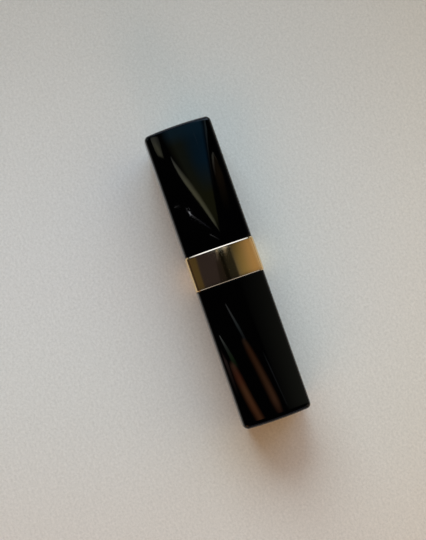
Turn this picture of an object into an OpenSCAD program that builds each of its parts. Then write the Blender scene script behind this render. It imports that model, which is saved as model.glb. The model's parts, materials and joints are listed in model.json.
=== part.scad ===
// Swivel lipstick with a square crowned case, lying on its side with the cap on.
// Every module is drawn upright, base end at z = 0 and cap end up, and lay_down()
// turns the whole stick on its side with its long axis along +X.

/* [Case] */
// Width of the black case across two crowned faces
case_w = 18.8; // [18:0.1:21]
// Radius of each long face's crown
face_r = 65; // [50:5:120]
// Radius of the four long corners
corner_r = 1.3; // [1.2:0.1:1.8]
// Radius of the rim at each closed end
end_r = 1.2; // [0.8:0.1:1.2]
// Radius of the slight dome on each closed end
dome_r = 136; // [100:4:300]
// Wall of the two black shells
shell_t = 1.2; // [1:0.1:1.4]
// Length of the black base shell
base_len = 33.4; // [31:0.1:36]
// Length of the black cap shell
cap_len = 37.1; // [36.4:0.1:40]

/* [Band] */
// Length of the gold band
band_len = 9.1; // [9:0.1:11]
// How far the band stands proud of the black shells
band_proud = 0.2; // [0.1:0.05:0.4]
// Wall of the band
band_t = 0.5; // [0.4:0.05:0.6]
// Radius of the band's two long edges
band_edge_r = 0.35; // [0.2:0.05:0.4]
// Parting gap between the band and the cap
parting = 0.1; // [0.1:0.05:0.2]

/* [Sleeve] */
// Height of the sleeve cover above the band
sleeve_h = 14.1; // [12:0.1:14.4]
// Wall of the sleeve cover
cover_t = 0.4; // [0.3:0.05:0.5]

/* [Swivel] */
// How far the bullet rises
travel = 20; // [15:0.5:20]
// Turn of the base that raises it fully, a multiple of 90 so that the squares line up
turn = 450; // [360:90:540]
// Diameter of the two lugs on the cup
lug_d = 1.5; // [1.2:0.1:1.6]

/* [Hidden] */

// Fineness of circles, and steps on each face, corner and rim of a crowned square
$fn = 96;
face_steps = 10;
corner_steps = 5;
rim_steps = 5;

// Clearances: pressed, glued, running, and cap over sleeve
press = 0.02;
glue = 0.05;
run = 0.1;
slip = 0.13;
// Overshoot that keeps cutting tools clear of the faces that they cut
over = 1;

// Walls of the pieces inside
liner_t = 0.6;
cam_t = 0.8;
body_t = 0.55;
cup_t = 0.4;

// Half widths and radii, from the outside in
case_h = case_w / 2;
band_h = case_h + band_proud;
band_in = band_h - band_t;
cavity_h = case_h - shell_t;
insert_h = cavity_h - glue;
liner_in = insert_h - liner_t;
cover_h = liner_in - slip;
cover_in = cover_h - cover_t;
cam_r = cover_in - press;
cam_in = cam_r - cam_t;
body_r = cam_in - run;
body_in = body_r - body_t;
cup_r = body_in - run;
cup_in = cup_r - cup_t;
bullet_r = cup_in - press;

// Long corners of the shells' cavities, the insert, its neck and the liner
cavity_corner_r = 0.6;
insert_corner_r = 0.55;
neck_corner_r = 0.9;
liner_corner_r = 0.5;

// Levels along the stick, from the base end
end_t = 1.6;
band_z = base_len;
band_top = band_z + band_len;
cap_z = band_top + parting;
total = cap_z + cap_len;
cap_end_t = 1.5;
sleeve_top = band_top + sleeve_h;
cover_z = cap_z + glue;
cover_lip_t = 0.45;
band_lip_t = 0.6;
insert_top = band_top - band_lip_t - glue;

// Base insert: a pocket for the weight, a web over it, and a bore for the swivel
pocket_wall = 0.9;
pocket_spare = 0.6;
web_t = 1.6;
weight_r = insert_h - pocket_wall - glue;
weight_h = 6;
dimple_r = 2;
dimple_d = 0.8;
pocket_top = end_t + weight_h + pocket_spare;
bore_z = pocket_top + web_t;
bore_r = cam_r + run;

// Flange of the cam, trapped between the seat in the insert and the lip of the band
flange_w = 0.7;
flange_t = 1.1;
flange_r = bore_r + flange_w;
flange_top = insert_top - glue;
flange_z = flange_top - flange_t;
seat_z = flange_z - run;

// Silicone ring between the insert and the cam
ring_r = 0.45;
ring_z = band_z + 3;
ring_mid = cam_r + glue + ring_r;

// Slotted inner body: a keyed foot, a fork and a retaining rim
foot_top = 25.6;
foot_r = bore_r - press;
key_w = 1.2;
key_h = 0.5;
rim_t = 0.6;
rim_r = cam_r - run;
rim_top = sleeve_top - cover_lip_t - run;
cam_z = foot_top + run;
cam_top = rim_top - rim_t - run;

// Cup, and the lugs that run in the slots and in the cam
cup_z = foot_top + 1.1;
cup_len = 8.9;
cup_floor = 0.8;
lug_r = lug_d / 2;
lug_z = cup_z + 1.2;
lug_short = 0.15;
lug_reach = cam_r - lug_short;
lug_root = cup_in + 0.1;
slot_spare = 0.15;
slot_w = lug_d + 2 * run;
slot_z = lug_z - lug_r - slot_spare;
slot_len = travel + lug_d + 2 * slot_spare;
groove_half = lug_r + 0.12;
groove_over = 0.3;

// Helical slots: mean lead angle, and how far each runs past the end of the lug's travel, in degrees
groove_step = 7.5;
past_end = 8.5;
groove_turn = turn + 2 * past_end;
lead_angle = atan(travel / (turn * PI / 180 * (cam_in + cam_r) / 2));

// Sleeve cover: long corners, top edge and mouth
cover_corner_r = 0.9;
cover_edge_r = 0.4;
mouth_hole_r = body_in + 0.25;

// Bullet: a cylinder under a pointed dome, cut on a slant that meets the dome at the tip
tip_z = sleeve_top - 0.5;
tip_x = -2.2;
slant = 43;
nose_z = tip_z - 13;
nose_len = 14.5;
nose_steps = 12;
cutter_w = 30;

// Base end: a flat land to stand on, with a recess for the label
land_r = 6;
recess_r = 5;
recess_d = 0.25;
label_r = 4.8;
label_t = 0.12;

// Edge round the open mouth of each shell
mouth_r = 0.12;

// Cap liner, and the pairs of ribs inside it that grip the sleeve cover
liner_z = cap_z + 0.4;
liner_top = liner_z + 23;
rib_y = 3;
rib_w = 0.5;
rib_h = 0.08;
rib_len = 11;
rib_z = liner_z + 1;
rib_root = 0.4;

// Outline of a crowned square: half width h, face radius r_face, corner radius r_corner
function corner_centre(h, r_face, r_corner) =
    let (d = r_face - h)
    (-d + sqrt(2 * pow(r_face - r_corner, 2) - d * d)) / 2;

function quarter(h, r_face, r_corner) =
    let (d = r_face - h,
         q = corner_centre(h, r_face, r_corner),
         b = atan2(q, q + d))
    concat(
        [for (i = [0:face_steps])
            let (a = -b + 2 * b * i / face_steps)
            [-d + r_face * cos(a), r_face * sin(a)]],
        [for (i = [1:corner_steps - 1])
            let (a = b + (90 - 2 * b) * i / corner_steps)
            [q + r_corner * cos(a), q + r_corner * sin(a)]]);

function turned(p, a) = [p.x * cos(a) - p.y * sin(a), p.x * sin(a) + p.y * cos(a)];

function outline(h, r_face, r_corner) =
    [for (k = [0:3]) for (p = quarter(h, r_face, r_corner)) turned(p, 90 * k)];

// The case outline moved in by s, with its curves kept concentric
function case_outline(s) =
    outline(case_h - s, face_r - s, max(corner_r - s, 0.1));

function at_z(points, z) = [for (p = points) [p.x, p.y, z]];

// Ring at angle a round a rounded edge of radius r, from the side wall (0) to the end face (90).
// The end face lies at end_z and looks up (sign 1) or down (sign -1).
function edge_ring(inset, r, a, end_z, sign) =
    at_z(case_outline(inset + r * (1 - cos(a))), end_z - sign * r * (1 - sin(a)));

// Height of the dome on a closed end, which is 0 at radius land
function dome_z(x, y, land) = (x * x + y * y - land * land) / (2 * dome_r);

// Ring at angle a round the rim of a domed end that looks down at z = 0
function rim_ring(a, land) =
    [for (p = edge_ring(0, end_r, a, 0, -1)) [p.x, p.y, p.z + dome_z(p.x, p.y, land)]];

// Ring on the dome inside the rim, shrunk by k towards the centre
function dome_ring(k, land) =
    [for (p = case_outline(end_r)) [k * p.x, k * p.y, dome_z(k * p.x, k * p.y, land)]];

// A closed solid through rings of equal length, from the lowest to the highest
module loft(rings, low_point, high_point) {
    n = len(rings[0]);
    m = len(rings);
    points = concat([for (r = rings) each r], [low_point, high_point]);
    low = m * n;
    high = m * n + 1;
    sides = [for (j = [0:m - 2]) for (i = [0:n - 1])
        let (a = j * n + i, b = j * n + (i + 1) % n)
        each [[a, a + n, b], [b, a + n, b + n]]];
    bottom = [for (i = [0:n - 1]) [low, i, (i + 1) % n]];
    top = [for (i = [0:n - 1]) [high, (m - 1) * n + (i + 1) % n, (m - 1) * n + i]];
    polyhedron(points, concat(bottom, sides, top), convexity = 4);
}

module crowned_prism(h, r_face, r_corner, z0, z1) {
    translate([0, 0, z0])
        linear_extrude(z1 - z0)
            polygon(outline(h, r_face, r_corner));
}

// A prism with the case's outline moved in by s
module case_prism(s, z0, z1, r_corner) {
    crowned_prism(case_h - s, face_r - s, r_corner, z0, z1);
}

module tube(r_out, r_in, z0, z1) {
    translate([0, 0, z0]) difference() {
        cylinder(r = r_out, h = z1 - z0);
        translate([0, 0, -over]) cylinder(r = r_in, h = z1 - z0 + 2 * over);
    }
}

module bore(r, z0, z1) {
    translate([0, 0, z0]) cylinder(r = r, h = z1 - z0);
}

// Outside of a black shell, with its closed domed end down at z = 0
module shell_outside(length, land) {
    dome = [for (k = [0.25, 0.5, 0.75]) dome_ring(k, land)];
    rim = [for (i = [rim_steps:-1:0]) rim_ring(90 * i / rim_steps, land)];
    mouth = [at_z(case_outline(0), length - mouth_r),
             at_z(case_outline(mouth_r), length)];
    loft(concat(dome, rim, mouth), [0, 0, dome_z(0, 0, land)], [0, 0, length]);
}

module base_shell() {
    color([0.02, 0.02, 0.02]) difference() {
        shell_outside(base_len, land_r);
        case_prism(shell_t, end_t, base_len + over, cavity_corner_r);
        translate([0, 0, -over]) cube([case_w * 2, case_w * 2, 2 * over], center = true);
        bore(recess_r, -over, recess_d);
    }
}

// Plastic carrier glued into the base shell. Its neck holds the gold band, and its bore the swivel.
module base_insert() {
    color([0.08, 0.08, 0.09]) difference() {
        union() {
            case_prism(case_h - insert_h, end_t, band_z, insert_corner_r);
            case_prism(case_h - band_in + glue, band_z, insert_top, neck_corner_r);
        }
        bore(weight_r + glue, end_t - over, pocket_top);
        bore(bore_r, bore_z, insert_top + over);
        bore(flange_r + run, seat_z, insert_top + over);
        bore(ring_mid + ring_r + glue, ring_z - ring_r - glue, ring_z + ring_r + glue);
        keys(bore_r, key_h + glue, key_w + 2 * glue);
    }
}

// Four keys round a radius r, standing out from it by h
module keys(r, h, w) {
    for (k = [0:3]) rotate(90 * k)
        translate([r - over, -w / 2, bore_z])
            cube([over + h, w, foot_top - bore_z]);
}

module base_weight() {
    color([0.55, 0.56, 0.58])
        translate([0, 0, end_t + glue]) difference() {
            cylinder(r = weight_r, h = weight_h);
            translate([0, 0, weight_h - dimple_d]) cylinder(r = dimple_r, h = over + dimple_d);
        }
}

module base_label() {
    color([0.86, 0.80, 0.66])
        bore(label_r, recess_d - label_t, recess_d);
}

// Drawn gold band, with a lip at its top that traps the swivel's flange
module collar_band() {
    low_edge = [for (i = [3:-1:0])
        edge_ring(-band_proud, band_edge_r, 90 * i / 3, band_z, -1)];
    high_edge = [for (i = [0:3])
        edge_ring(-band_proud, band_edge_r, 90 * i / 3, band_top, 1)];
    color([0.83, 0.66, 0.36]) difference() {
        loft(concat(low_edge, high_edge), [0, 0, band_z], [0, 0, band_top]);
        case_prism(case_h - band_in, band_z - over, band_top - band_lip_t, neck_corner_r);
        bore(bore_r, band_z, band_top + over);
    }
}

// Slotted tube that turns with the base and carries the cup round
module inner_body() {
    color([0.12, 0.12, 0.13]) difference() {
        union() {
            bore(foot_r, bore_z, foot_top);
            bore(body_r, foot_top - over, rim_top);
            bore(rim_r, rim_top - rim_t, rim_top);
            keys(foot_r, key_h, key_w);
        }
        bore(body_in, bore_z - over, rim_top + over);
        translate([-bore_r, -slot_w / 2, slot_z]) cube([2 * bore_r, slot_w, slot_len]);
    }
}

// Silicone ring that gives the swivel its drag, at its fitted size
module drag_ring() {
    color([0.25, 0.24, 0.24])
        translate([0, 0, ring_z])
            rotate_extrude() translate([ring_mid, 0]) circle(r = ring_r, $fn = 32);
}

function centre(ring) = (ring[0] + ring[1] + ring[2] + ring[3]) / 4;

// Swept cutter for one right-handed helical slot, with a square section that passes through the wall
module helix_cutter(start) {
    inner = cam_in - groove_over;
    outer = cam_r + groove_over;
    section = [[inner, -groove_half], [inner, groove_half], [outer, groove_half], [outer, -groove_half]];
    steps = ceil(groove_turn / groove_step);
    rings = [for (i = [0:steps])
        let (a = -past_end + groove_turn * i / steps,
             z = lug_z + travel * a / turn)
        [for (p = section)
            let (t = start + a - p[1] * sin(lead_angle) / p[0] * 180 / PI)
            [p[0] * cos(t), p[0] * sin(t), z + p[1] * cos(lead_angle)]]];
    loft(rings, centre(rings[0]), centre(rings[steps]));
}

// Cam tube with two helical slots. It is held still by the cover while the base turns.
module cam_sleeve() {
    color([0.88, 0.88, 0.85]) difference() {
        union() {
            tube(cam_r, cam_in, cam_z, cam_top);
            tube(flange_r, cam_in, flange_z, flange_top);
        }
        helix_cutter(0);
        helix_cutter(180);
    }
}

// Outline of the sleeve cover moved in by s
function cover_outline(s) =
    outline(cover_h - s, face_r - case_h + cover_h - s, cover_corner_r - s);

// Gold cover over the top of the cam, with a lip round its mouth
module sleeve_cover() {
    top_edge = [for (i = [0:4])
        let (a = 90 * i / 4)
        at_z(cover_outline(cover_edge_r * (1 - cos(a))),
             sleeve_top - cover_edge_r * (1 - sin(a)))];
    color([0.83, 0.66, 0.36]) difference() {
        loft(concat([at_z(cover_outline(0), cover_z)], top_edge),
             [0, 0, cover_z], [0, 0, sleeve_top]);
        crowned_prism(cover_in, face_r - case_h + cover_in, cover_corner_r - cover_t,
                      cover_z - over, sleeve_top - cover_lip_t);
        bore(mouth_hole_r, cover_z, sleeve_top + over);
    }
}

// Cup that carries the bullet, with two lugs that reach through the slots into the cam
module cup() {
    color([0.83, 0.66, 0.36]) union() {
        difference() {
            bore(cup_r, cup_z, cup_z + cup_len);
            bore(cup_in, cup_z + cup_floor, cup_z + cup_len + over);
        }
        for (k = [0, 180]) rotate([0, 90, k])
            translate([-lug_z, 0, lug_root])
                cylinder(r = lug_r, h = lug_reach - lug_root, $fn = 48);
    }
}

// Wax bullet: a cylinder under a pointed dome, cut on a slant
module bullet() {
    nose = [for (i = [0:nose_steps])
        let (a = 90 * i / nose_steps)
        [bullet_r * cos(a), nose_len * sin(a)]];
    color([0.62, 0.10, 0.16]) difference() {
        union() {
            bore(bullet_r, cup_z + cup_floor, nose_z);
            translate([0, 0, nose_z]) rotate_extrude() polygon(concat([[0, 0]], nose));
        }
        translate([tip_x, 0, tip_z]) rotate([0, slant, 0])
            translate([0, 0, cutter_w / 2]) cube(cutter_w, center = true);
    }
}

module cap_shell() {
    color([0.02, 0.02, 0.02]) difference() {
        translate([0, 0, total]) mirror([0, 0, 1]) shell_outside(cap_len, 0);
        case_prism(shell_t, cap_z - over, total - cap_end_t, cavity_corner_r);
    }
}

// Plastic lining of the cap, with ribs that grip the sleeve cover
module cap_liner() {
    crown_drop = rib_y * rib_y / (2 * face_r);
    color([0.08, 0.08, 0.09]) {
        difference() {
            case_prism(case_h - insert_h, liner_z, liner_top, liner_corner_r);
            case_prism(case_h - liner_in, liner_z - over, liner_top + over, liner_corner_r);
        }
        for (k = [0:3]) rotate(90 * k) for (y = [-rib_y, rib_y])
            translate([liner_in - crown_drop - rib_h, y - rib_w / 2, rib_z])
                cube([rib_root, rib_w, rib_len]);
    }
}

module lay_down() {
    translate([-total / 2, 0, band_h]) rotate([0, 90, 0]) children();
}

lay_down() base_shell();
lay_down() base_insert();
lay_down() base_weight();
lay_down() base_label();
lay_down() collar_band();
lay_down() inner_body();
lay_down() drag_ring();
lay_down() cam_sleeve();
lay_down() sleeve_cover();
lay_down() cup();
lay_down() bullet();
lay_down() cap_shell();
lay_down() cap_liner();
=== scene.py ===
"""Looks of a closed swivel lipstick: lacquered shells, a gold band, and the swivel and bullet inside."""
import json
import math

import bmesh
import bpy
from mathutils import Matrix, Vector

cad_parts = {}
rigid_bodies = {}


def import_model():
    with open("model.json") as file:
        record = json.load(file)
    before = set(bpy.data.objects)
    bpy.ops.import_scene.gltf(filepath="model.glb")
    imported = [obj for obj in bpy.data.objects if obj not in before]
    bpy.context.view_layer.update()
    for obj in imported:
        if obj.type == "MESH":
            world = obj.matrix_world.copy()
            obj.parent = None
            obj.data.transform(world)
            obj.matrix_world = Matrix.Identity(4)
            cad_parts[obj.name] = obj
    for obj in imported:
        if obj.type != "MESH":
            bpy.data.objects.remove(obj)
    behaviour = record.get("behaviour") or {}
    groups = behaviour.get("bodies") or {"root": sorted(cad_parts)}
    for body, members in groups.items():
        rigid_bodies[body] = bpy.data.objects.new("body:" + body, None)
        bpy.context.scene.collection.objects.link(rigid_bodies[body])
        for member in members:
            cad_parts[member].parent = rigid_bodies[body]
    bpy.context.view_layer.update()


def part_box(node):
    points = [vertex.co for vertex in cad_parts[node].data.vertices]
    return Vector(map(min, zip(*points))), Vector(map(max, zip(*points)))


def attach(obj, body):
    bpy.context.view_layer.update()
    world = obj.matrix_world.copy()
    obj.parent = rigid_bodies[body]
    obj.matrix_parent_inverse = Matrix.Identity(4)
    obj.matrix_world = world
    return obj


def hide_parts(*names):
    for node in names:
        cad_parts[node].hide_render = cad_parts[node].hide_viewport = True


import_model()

scene = bpy.context.scene
MM = 0.001

# Places along the stick and across it, in metres, taken from the frame
base_lo, base_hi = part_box("base_shell")
band_lo, band_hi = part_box("collar_band")
cap_lo, cap_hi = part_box("cap_shell")
liner_lo, liner_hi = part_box("cap_liner")
cover_lo, cover_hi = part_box("sleeve_cover")
cup_lo, cup_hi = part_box("cup")
bullet_lo, bullet_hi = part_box("bullet")
label_lo, label_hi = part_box("base_label")
body_lo, body_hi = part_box("inner_body")
base_floor_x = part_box("base_insert")[0].x

AXIS_Z = (band_lo.z + band_hi.z) / 2
CASE_HALF = (base_hi.y - base_lo.y) / 2
BAND_HALF = (band_hi.y - band_lo.y) / 2
COVER_HALF = (cover_hi.y - cover_lo.y) / 2
LINER_HALF = (liner_hi.y - liner_lo.y) / 2
BODY_R = (body_hi.y - body_lo.y) / 2
BULLET_R = (bullet_hi.y - bullet_lo.y) / 2
CUP_R = (cup_hi.y - cup_lo.y) / 2
LABEL_R = (label_hi.y - label_lo.y) / 2
TOP_Z = AXIS_Z + CASE_HALF

# The crowned square section of the case, and its rims, as in the frame
FACE_R = 65 * MM
CORNER_R = 1.3 * MM
DOME_R = 136 * MM
END_R = 1.2 * MM
SHELL_T = 1.2 * MM
MOUTH_R = 0.12 * MM
LEAST_R = 0.1 * MM
LINER_T = 0.6 * MM
BAND_PROUD = BAND_HALF - CASE_HALF
# How far the dome falls away at the corners of a closed end
DOME_FALL = CASE_HALF * CASE_HALF / DOME_R
# The band's bevels: their widths, small rounds, and the tilt where each nearly flat part starts and ends
BASE_BEVEL = 0.40 * MM
CAP_BEVEL = 0.22 * MM
BEVEL_ROUND = 0.05 * MM
BEVEL_STEEP = math.radians(35.8)
BEVEL_FLAT = math.radians(34.2)
FACE_STEPS = 26
CORNER_STEPS = 12
# The distance between two rings that hold an edge tight
NEAR = 0.05 * MM


# ---------------------------------------------------------------- meshes

def crown_layout(half, face_r, corner_r):
    """How far a face's centre lies past the middle, a corner's centre, and the angle where they join."""
    drop = face_r - half
    centre = (-drop + math.sqrt(2 * (face_r - corner_r) ** 2 - drop * drop)) / 2
    return drop, centre, math.atan2(centre, centre + drop)


def crowned_square(half, face_r, corner_r):
    """Points (y, z) of a square with crowned faces and round corners, anticlockwise seen from +X."""
    drop, centre, join = crown_layout(half, face_r, corner_r)
    quarter = []
    for i in range(FACE_STEPS + 1):
        a = -join + 2 * join * i / FACE_STEPS
        quarter.append((-drop + face_r * math.cos(a), face_r * math.sin(a)))
    for i in range(1, CORNER_STEPS):
        a = join + (math.pi / 2 - 2 * join) * i / CORNER_STEPS
        quarter.append((centre + corner_r * math.cos(a), centre + corner_r * math.sin(a)))
    points = []
    for turn in range(4):
        c = round(math.cos(turn * math.pi / 2))
        s = round(math.sin(turn * math.pi / 2))
        points += [(y * c - z * s, y * s + z * c) for y, z in quarter]
    return points


def case_points(inset):
    """The case's outline moved in by inset, with its curves kept concentric."""
    return crowned_square(CASE_HALF - inset, FACE_R - inset, max(CORNER_R - inset, LEAST_R))


def on_circle(points, radius):
    """The same directions as points, but on a circle."""
    return [(radius * y / math.hypot(y, z), radius * z / math.hypot(y, z)) for y, z in points]


def between(points_a, points_b, share):
    """Points at a share of the way from one outline to another."""
    return [(ay + (by - ay) * share, az + (bz - az) * share)
            for (ay, az), (by, bz) in zip(points_a, points_b)]


def at_x(points, x):
    """A flat ring of points across the stick at x."""
    return [Vector((x, y, AXIS_Z + z)) for y, z in points]


def arc(start, end, steps):
    """Angles in radians from start to end in degrees, both ends included."""
    return [math.radians(start + (end - start) * i / steps) for i in range(steps + 1)]


def quarter_round(radius, start, end, steps):
    """(inset, back) pairs round an edge, where 0 degrees is on the wall and 90 degrees on the end face."""
    return [(radius * (1 - math.cos(a)), radius * (1 - math.sin(a))) for a in arc(start, end, steps)]


def add_skin(bm, rows, closed=False):
    """Faces round each pair of neighbouring rows of vertices, and from the last to the first if closed."""
    pairs = list(zip(rows, rows[1:]))
    if closed:
        pairs.append((rows[-1], rows[0]))
    faces = []
    for row_a, row_b in pairs:
        for i in range(len(row_a)):
            j = (i + 1) % len(row_a)
            faces.append(bm.faces.new((row_a[i], row_a[j], row_b[j], row_b[i])))
    return faces


def opened(piece):
    """A piece's mesh, ready to be changed."""
    bm = bmesh.new()
    bm.from_mesh(piece.data)
    return bm


def write_mesh(bm, piece, flat=frozenset()):
    """Writes a closed mesh to its piece. Faces look outwards, and are smooth apart from the flat ones."""
    bmesh.ops.recalc_face_normals(bm, faces=bm.faces)
    if bm.calc_volume(signed=True) < 0:
        bmesh.ops.reverse_faces(bm, faces=bm.faces)
    for face in bm.faces:
        face.smooth = face not in flat
    bm.to_mesh(piece.data)
    bm.free()


def piece_from_rings(name, rings, start=None, end=None):
    """A skin through rings of equal length. start and end are where on the axis its ends close, in x.
    Without them it closes from its last ring to its first."""
    bm = bmesh.new()
    rows = [[bm.verts.new(p) for p in ring] for ring in rings]
    add_skin(bm, rows, closed=start is None)
    for tip, row in ((start, rows[0]), (end, rows[-1])):
        if tip is not None:
            centre = bm.verts.new((tip, 0, AXIS_Z))
            for i in range(len(row)):
                bm.faces.new((row[i], row[(i + 1) % len(row)], centre))
    piece = bpy.data.objects.new(name, bpy.data.meshes.new(name))
    scene.collection.objects.link(piece)
    write_mesh(bm, piece)
    return piece


def turned(name, profile, start, end, steps=128):
    """A turned piece about the stick's axis from (x, radius) pairs."""
    ring = [(math.cos(2 * math.pi * i / steps), math.sin(2 * math.pi * i / steps)) for i in range(steps)]
    rings = [at_x([(r * y, r * z) for y, z in ring], x) for x, r in profile]
    return piece_from_rings(name, rings, start, end)


def finish_piece(piece, material, body, slot, *nodes):
    """Gives a piece its material and its body, and hides the nodes that it stands for. Its slot is not used.
    """
    piece.data.materials.append(material)
    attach(piece, body)
    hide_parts(*nodes)
    return piece


# ---------------------------------------------------------------- pieces

def domed(points, x_end, sign, land=0.0):
    """Points of a closed end, set back from x_end along its dome. sign is -1 at the base, 1 at the cap."""
    ring = []
    for y, z in points:
        drop = (y * y + z * z - land * land) / (2 * DOME_R)
        ring.append(Vector((x_end - sign * drop, y, AXIS_Z + z)))
    return ring


def rim_rings(x_end, sign, land=0.0):
    """Rings round the rim of a closed end, from the dome to the side wall."""
    return [domed(case_points(inset), x_end - sign * back, sign, land)
            for inset, back in quarter_round(END_R, 90, 0, 10)]


def wall_rings(x_from, x_to, inset, steps=10):
    """Rings along a straight wall, held tight near both ends."""
    way = 1 if x_to > x_from else -1
    points = case_points(inset)
    places = [x_from + way * NEAR, x_from + way * 4 * NEAR]
    places += [x_from + (x_to - x_from) * i / steps for i in range(1, steps)]
    places += [x_to - way * 4 * NEAR, x_to - way * NEAR]
    return [at_x(points, x) for x in places]


def mouth_rings(x_mouth, sign):
    """Rings over the open end of a shell, from its outside wall to its inside wall."""
    rings = [at_x(case_points(inset), x_mouth + sign * back)
             for inset, back in quarter_round(MOUTH_R, 0, 90, 5)]
    rings += [at_x(case_points(inset), x_mouth) for inset in (MOUTH_R + NEAR, SHELL_T - MOUTH_R - NEAR)]
    rings += [at_x(case_points(SHELL_T - inset), x_mouth + sign * back)
              for inset, back in quarter_round(MOUTH_R, 90, 0, 5)]
    return rings


def cavity_rings(x_mouth, x_floor, sign):
    """Rings down the inside of a shell to its floor, with a small radius at the foot of the wall."""
    top_gap = 0.2 * MM
    foot_r = 0.5 * MM
    floor_in = 1 * MM
    rings = wall_rings(x_mouth + sign * top_gap, x_floor - sign * foot_r, SHELL_T)
    rings += [at_x(case_points(SHELL_T + inset), x_floor - sign * back)
              for inset, back in quarter_round(foot_r, 0, 90, 5)]
    rings.append(at_x(case_points(SHELL_T + foot_r + floor_in), x_floor))
    return rings


def make_base_shell():
    """Black base, with a flat land and a round recess for the label in its closed end."""
    land_r = 6 * MM
    recess_r = 5 * MM
    recess_x = label_hi.x
    edge_r = 0.08 * MM
    square = case_points(END_R)
    end_x = base_lo.x
    rings = [at_x(on_circle(square, radius), recess_x)
             for radius in (0.3 * recess_r, recess_r - edge_r, recess_r - NEAR / 4)]
    rings += [at_x(on_circle(square, recess_r + out), end_x + back)
              for out, back in quarter_round(edge_r, 0, 90, 4)]
    rings.append(at_x(on_circle(square, land_r - NEAR), end_x))
    rings += [domed(between(on_circle(square, land_r), square, share), end_x, -1, land_r)
              for share in (0, 0.15, 0.3, 0.5, 0.7, 0.85, 0.97)]
    rings += rim_rings(end_x, -1, land_r)
    rings += wall_rings(end_x + END_R + DOME_FALL, base_hi.x - MOUTH_R, 0.0)
    rings += mouth_rings(base_hi.x, -1)
    rings += cavity_rings(base_hi.x, base_floor_x, -1)
    return piece_from_rings("base_shell_lacquered", rings, recess_x, base_floor_x)


def make_cap_shell():
    """Black cap, closed and domed at its far end."""
    end_t = 1.5 * MM
    square = case_points(END_R)
    end_x = cap_hi.x
    floor_x = end_x - end_t
    rings = [domed([(share * y, share * z) for y, z in square], end_x, 1)
             for share in (0.1, 0.3, 0.5, 0.7, 0.85, 0.97)]
    rings += rim_rings(end_x, 1)
    rings += wall_rings(end_x - END_R - DOME_FALL, cap_lo.x + MOUTH_R, 0.0)
    rings += mouth_rings(cap_lo.x, 1)
    rings += cavity_rings(cap_lo.x, floor_x, 1)
    return piece_from_rings("cap_shell_lacquered", rings, end_x, floor_x)


def bevel_rings(x_edge, way, width):
    """Rings over one edge of the band, out from its end: a small round, a flat bevel and a small round."""
    flat_r = (width - BEVEL_ROUND) / (math.sin(BEVEL_STEEP) - math.sin(BEVEL_FLAT))
    bends = [(math.pi / 2, BEVEL_STEEP, BEVEL_ROUND), (BEVEL_STEEP, BEVEL_FLAT, flat_r),
             (BEVEL_FLAT, 0, BEVEL_ROUND)]
    drop = sum(radius * (math.cos(end) - math.cos(start)) for start, end, radius in bends)
    x = x_edge
    rings = [at_x(case_points(drop - BAND_PROUD), x)]
    for start, end, radius in bends:
        for i in range(1, 6):
            tilt = start + (end - start) * i / 5
            step_x = radius * (math.sin(start) - math.sin(tilt))
            step_out = radius * (math.cos(tilt) - math.cos(start))
            rings.append(at_x(case_points(drop - step_out - BAND_PROUD), x + way * step_x))
        x += way * step_x
        drop -= step_out
    return rings


def make_band():
    """Gold ring with a bevel on both long edges and a lip turned in at its cap end."""
    wall = 0.5 * MM
    lip_t = 0.6 * MM
    hole_inset = 0.48 * MM
    lo, hi = band_lo.x, band_hi.x
    rings = bevel_rings(lo, 1, BASE_BEVEL)
    cap_rings = list(reversed(bevel_rings(hi, -1, CAP_BEVEL)))
    rings += wall_rings(rings[-1][0].x, cap_rings[0][0].x, -BAND_PROUD, 6)
    rings += cap_rings
    square = case_points(LEAST_R)
    hole = on_circle(square, BODY_R - hole_inset)
    rings += [at_x(between(square, hole, share), hi) for share in (0, 0.25, 0.5, 0.75, 0.95)]
    rings += [at_x(hole, hi - NEAR), at_x(hole, hi - lip_t)]
    inside = case_points(wall - BAND_PROUD)
    rings += [at_x(between(hole, inside, 0.5), hi - lip_t), at_x(inside, hi - lip_t), at_x(inside, lo + NEAR)]
    return piece_from_rings("collar_band_gold", rings)


def make_sleeve_cover():
    """Gold cover with a rounded top edge, a turned-in mouth and a fine line rolled round it."""
    inset = CASE_HALF - COVER_HALF
    wall = 0.4 * MM
    corner_r = 0.9 * MM
    foot_r = 0.03 * MM
    top_r = 0.4 * MM
    lip_t = 0.45 * MM
    mouth_r = 5.8 * MM
    lip_r = 0.12 * MM

    def cover_points(step):
        return crowned_square(COVER_HALF - step, FACE_R - inset - step, max(corner_r - step, LEAST_R))

    lo, hi = cover_lo.x, cover_hi.x
    groove_x = hi - 1.6 * MM
    groove_w = 0.14 * MM
    groove_d = 0.06 * MM
    side = cover_points(0)
    rings = [at_x(cover_points(foot_r), lo), at_x(side, lo + foot_r)]
    rings += [at_x(side, lo + (groove_x - groove_w - NEAR - lo) * i / 8) for i in range(1, 9)]
    rings += [at_x(cover_points(groove_d * math.sin(a)), groove_x - groove_w * math.cos(a))
              for a in arc(0, 180, 8)]
    rings += [at_x(side, groove_x + groove_w + NEAR), at_x(side, hi - top_r - NEAR)]
    rings += [at_x(cover_points(step), hi - back) for step, back in quarter_round(top_r, 0, 90, 8)]
    square = cover_points(top_r + NEAR)
    lip = on_circle(square, mouth_r + lip_r)
    rings += [at_x(between(square, lip, share), hi) for share in (0, 0.3, 0.6)]
    rings += [at_x(on_circle(square, mouth_r + out), hi - back)
              for out, back in quarter_round(lip_r, 90, 0, 6)]
    inside = cover_points(wall)
    mouth = on_circle(inside, mouth_r)
    rings += [at_x(mouth, hi - lip_t), at_x(inside, hi - lip_t), at_x(inside, lo + NEAR), at_x(inside, lo)]
    return piece_from_rings("sleeve_cover_gold", rings)


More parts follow.
